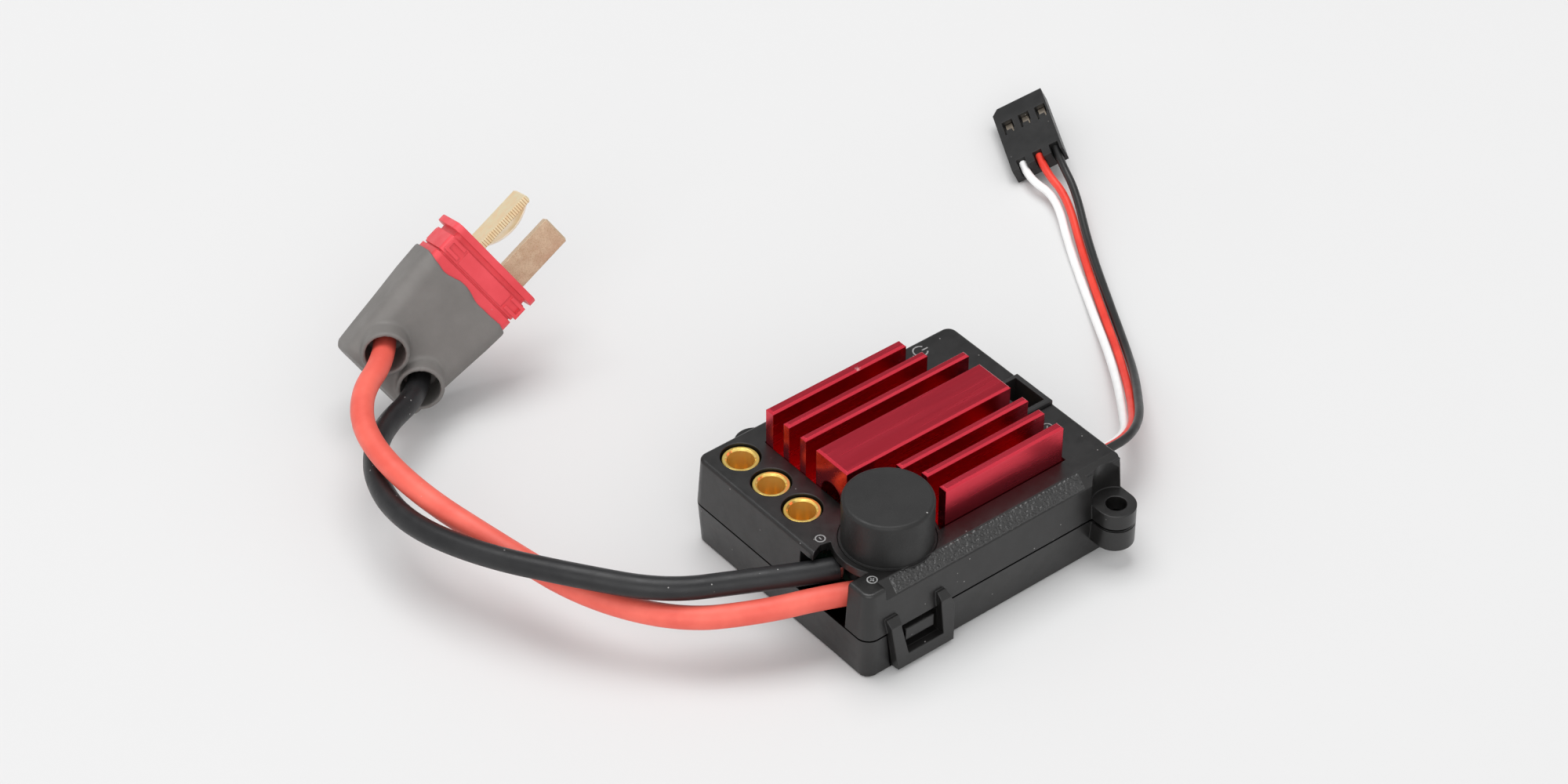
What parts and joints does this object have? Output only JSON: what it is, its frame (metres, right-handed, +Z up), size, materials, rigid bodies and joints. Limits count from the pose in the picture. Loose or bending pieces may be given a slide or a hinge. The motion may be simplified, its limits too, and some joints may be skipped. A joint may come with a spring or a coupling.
{
  "type": "electronic speed controller",
  "caption": "Compact brushless car speed controller: snap-fit case, finned heat sink, motor sockets, capacitor, battery lead with T-plug and servo lead.",
  "frame": {"origin": "middle of the case's underside, on the surface it stands on", "axes": "+X along the heat sink's fins from the motor sockets to the rear wall, +Y away from the capacitor, +Z up out of the heat sink"},
  "size_m": [0.1272, 0.0885, 0.0245],
  "materials": {
    "black_plastic": "fine matt moulded nylon",
    "red_anodised": "red anodised, brushed along the fins",
    "black_rubber": "soft matt",
    "gold_plate": "gold plated",
    "connector_black": "satin moulded",
    "light_lens": "clear red lens",
    "solder": "solder",
    "thermal_pad": "soft pad",
    "circuit_board": "solder mask",
    "chip_black": "moulded epoxy",
    "ferrite": "ferrite",
    "capacitor_can": "sleeved can",
    "button_black": "soft key",
    "silicone_red": "silicone, satin",
    "silicone_black": "silicone, satin",
    "lead_white": "PVC insulation",
    "lead_red": "PVC insulation",
    "lead_black": "PVC insulation",
    "plug_red": "moulded nylon",
    "boot_grey": "matt heat-shrink style sleeve",
    "contact_tin": "tin plated"
  },
  "bodies": {
    "housing": {"lower_case": "black_plastic", "upper_case": "black_plastic", "heatsink": "red_anodised", "capacitor_cap": "black_rubber", "motor_socket_a": "gold_plate", "motor_socket_b": "gold_plate", "motor_socket_c": "gold_plate", "fan_port_housing": "connector_black", "fan_port_pin_1": "gold_plate", "fan_port_pin_2": "gold_plate", "status_light": "light_lens", "battery_lug_red": "solder", "battery_lug_black": "solder", "thermal_pad": "thermal_pad", "power_board": "circuit_board", "control_board": "circuit_board", "mosfet_1": "chip_black", "mosfet_2": "chip_black", "mosfet_3": "chip_black", "mosfet_4": "chip_black", "mosfet_5": "chip_black", "mosfet_6": "chip_black", "gate_driver": "chip_black", "microcontroller": "chip_black", "board_header": "connector_black", "servo_pad_block": "solder", "bec_inductor": "ferrite", "main_capacitor": "capacitor_can", "power_switch_body": "connector_black", "power_wire_red": "silicone_red", "power_wire_black": "silicone_black", "servo_wire_white": "lead_white", "servo_wire_red": "lead_red", "servo_wire_black": "lead_black", "plug_body": "plug_red", "plug_blade_upright": "gold_plate", "plug_blade_flat": "gold_plate", "blade_spring_upright": "gold_plate", "blade_spring_flat": "gold_plate", "plug_boot": "boot_grey", "servo_plug_housing": "connector_black", "servo_contact_white": "contact_tin", "servo_contact_red": "contact_tin", "servo_contact_black": "contact_tin"},
    "power_button": {"power_button": "button_black"}
  },
  "joints": [
    {"name": "power_button_press", "type": "slide", "parent": "housing", "child": "power_button", "axis": [-1, 0, 0], "range_m": [0, 0.0005], "stiffness_N_per_m": 500}
  ]
}
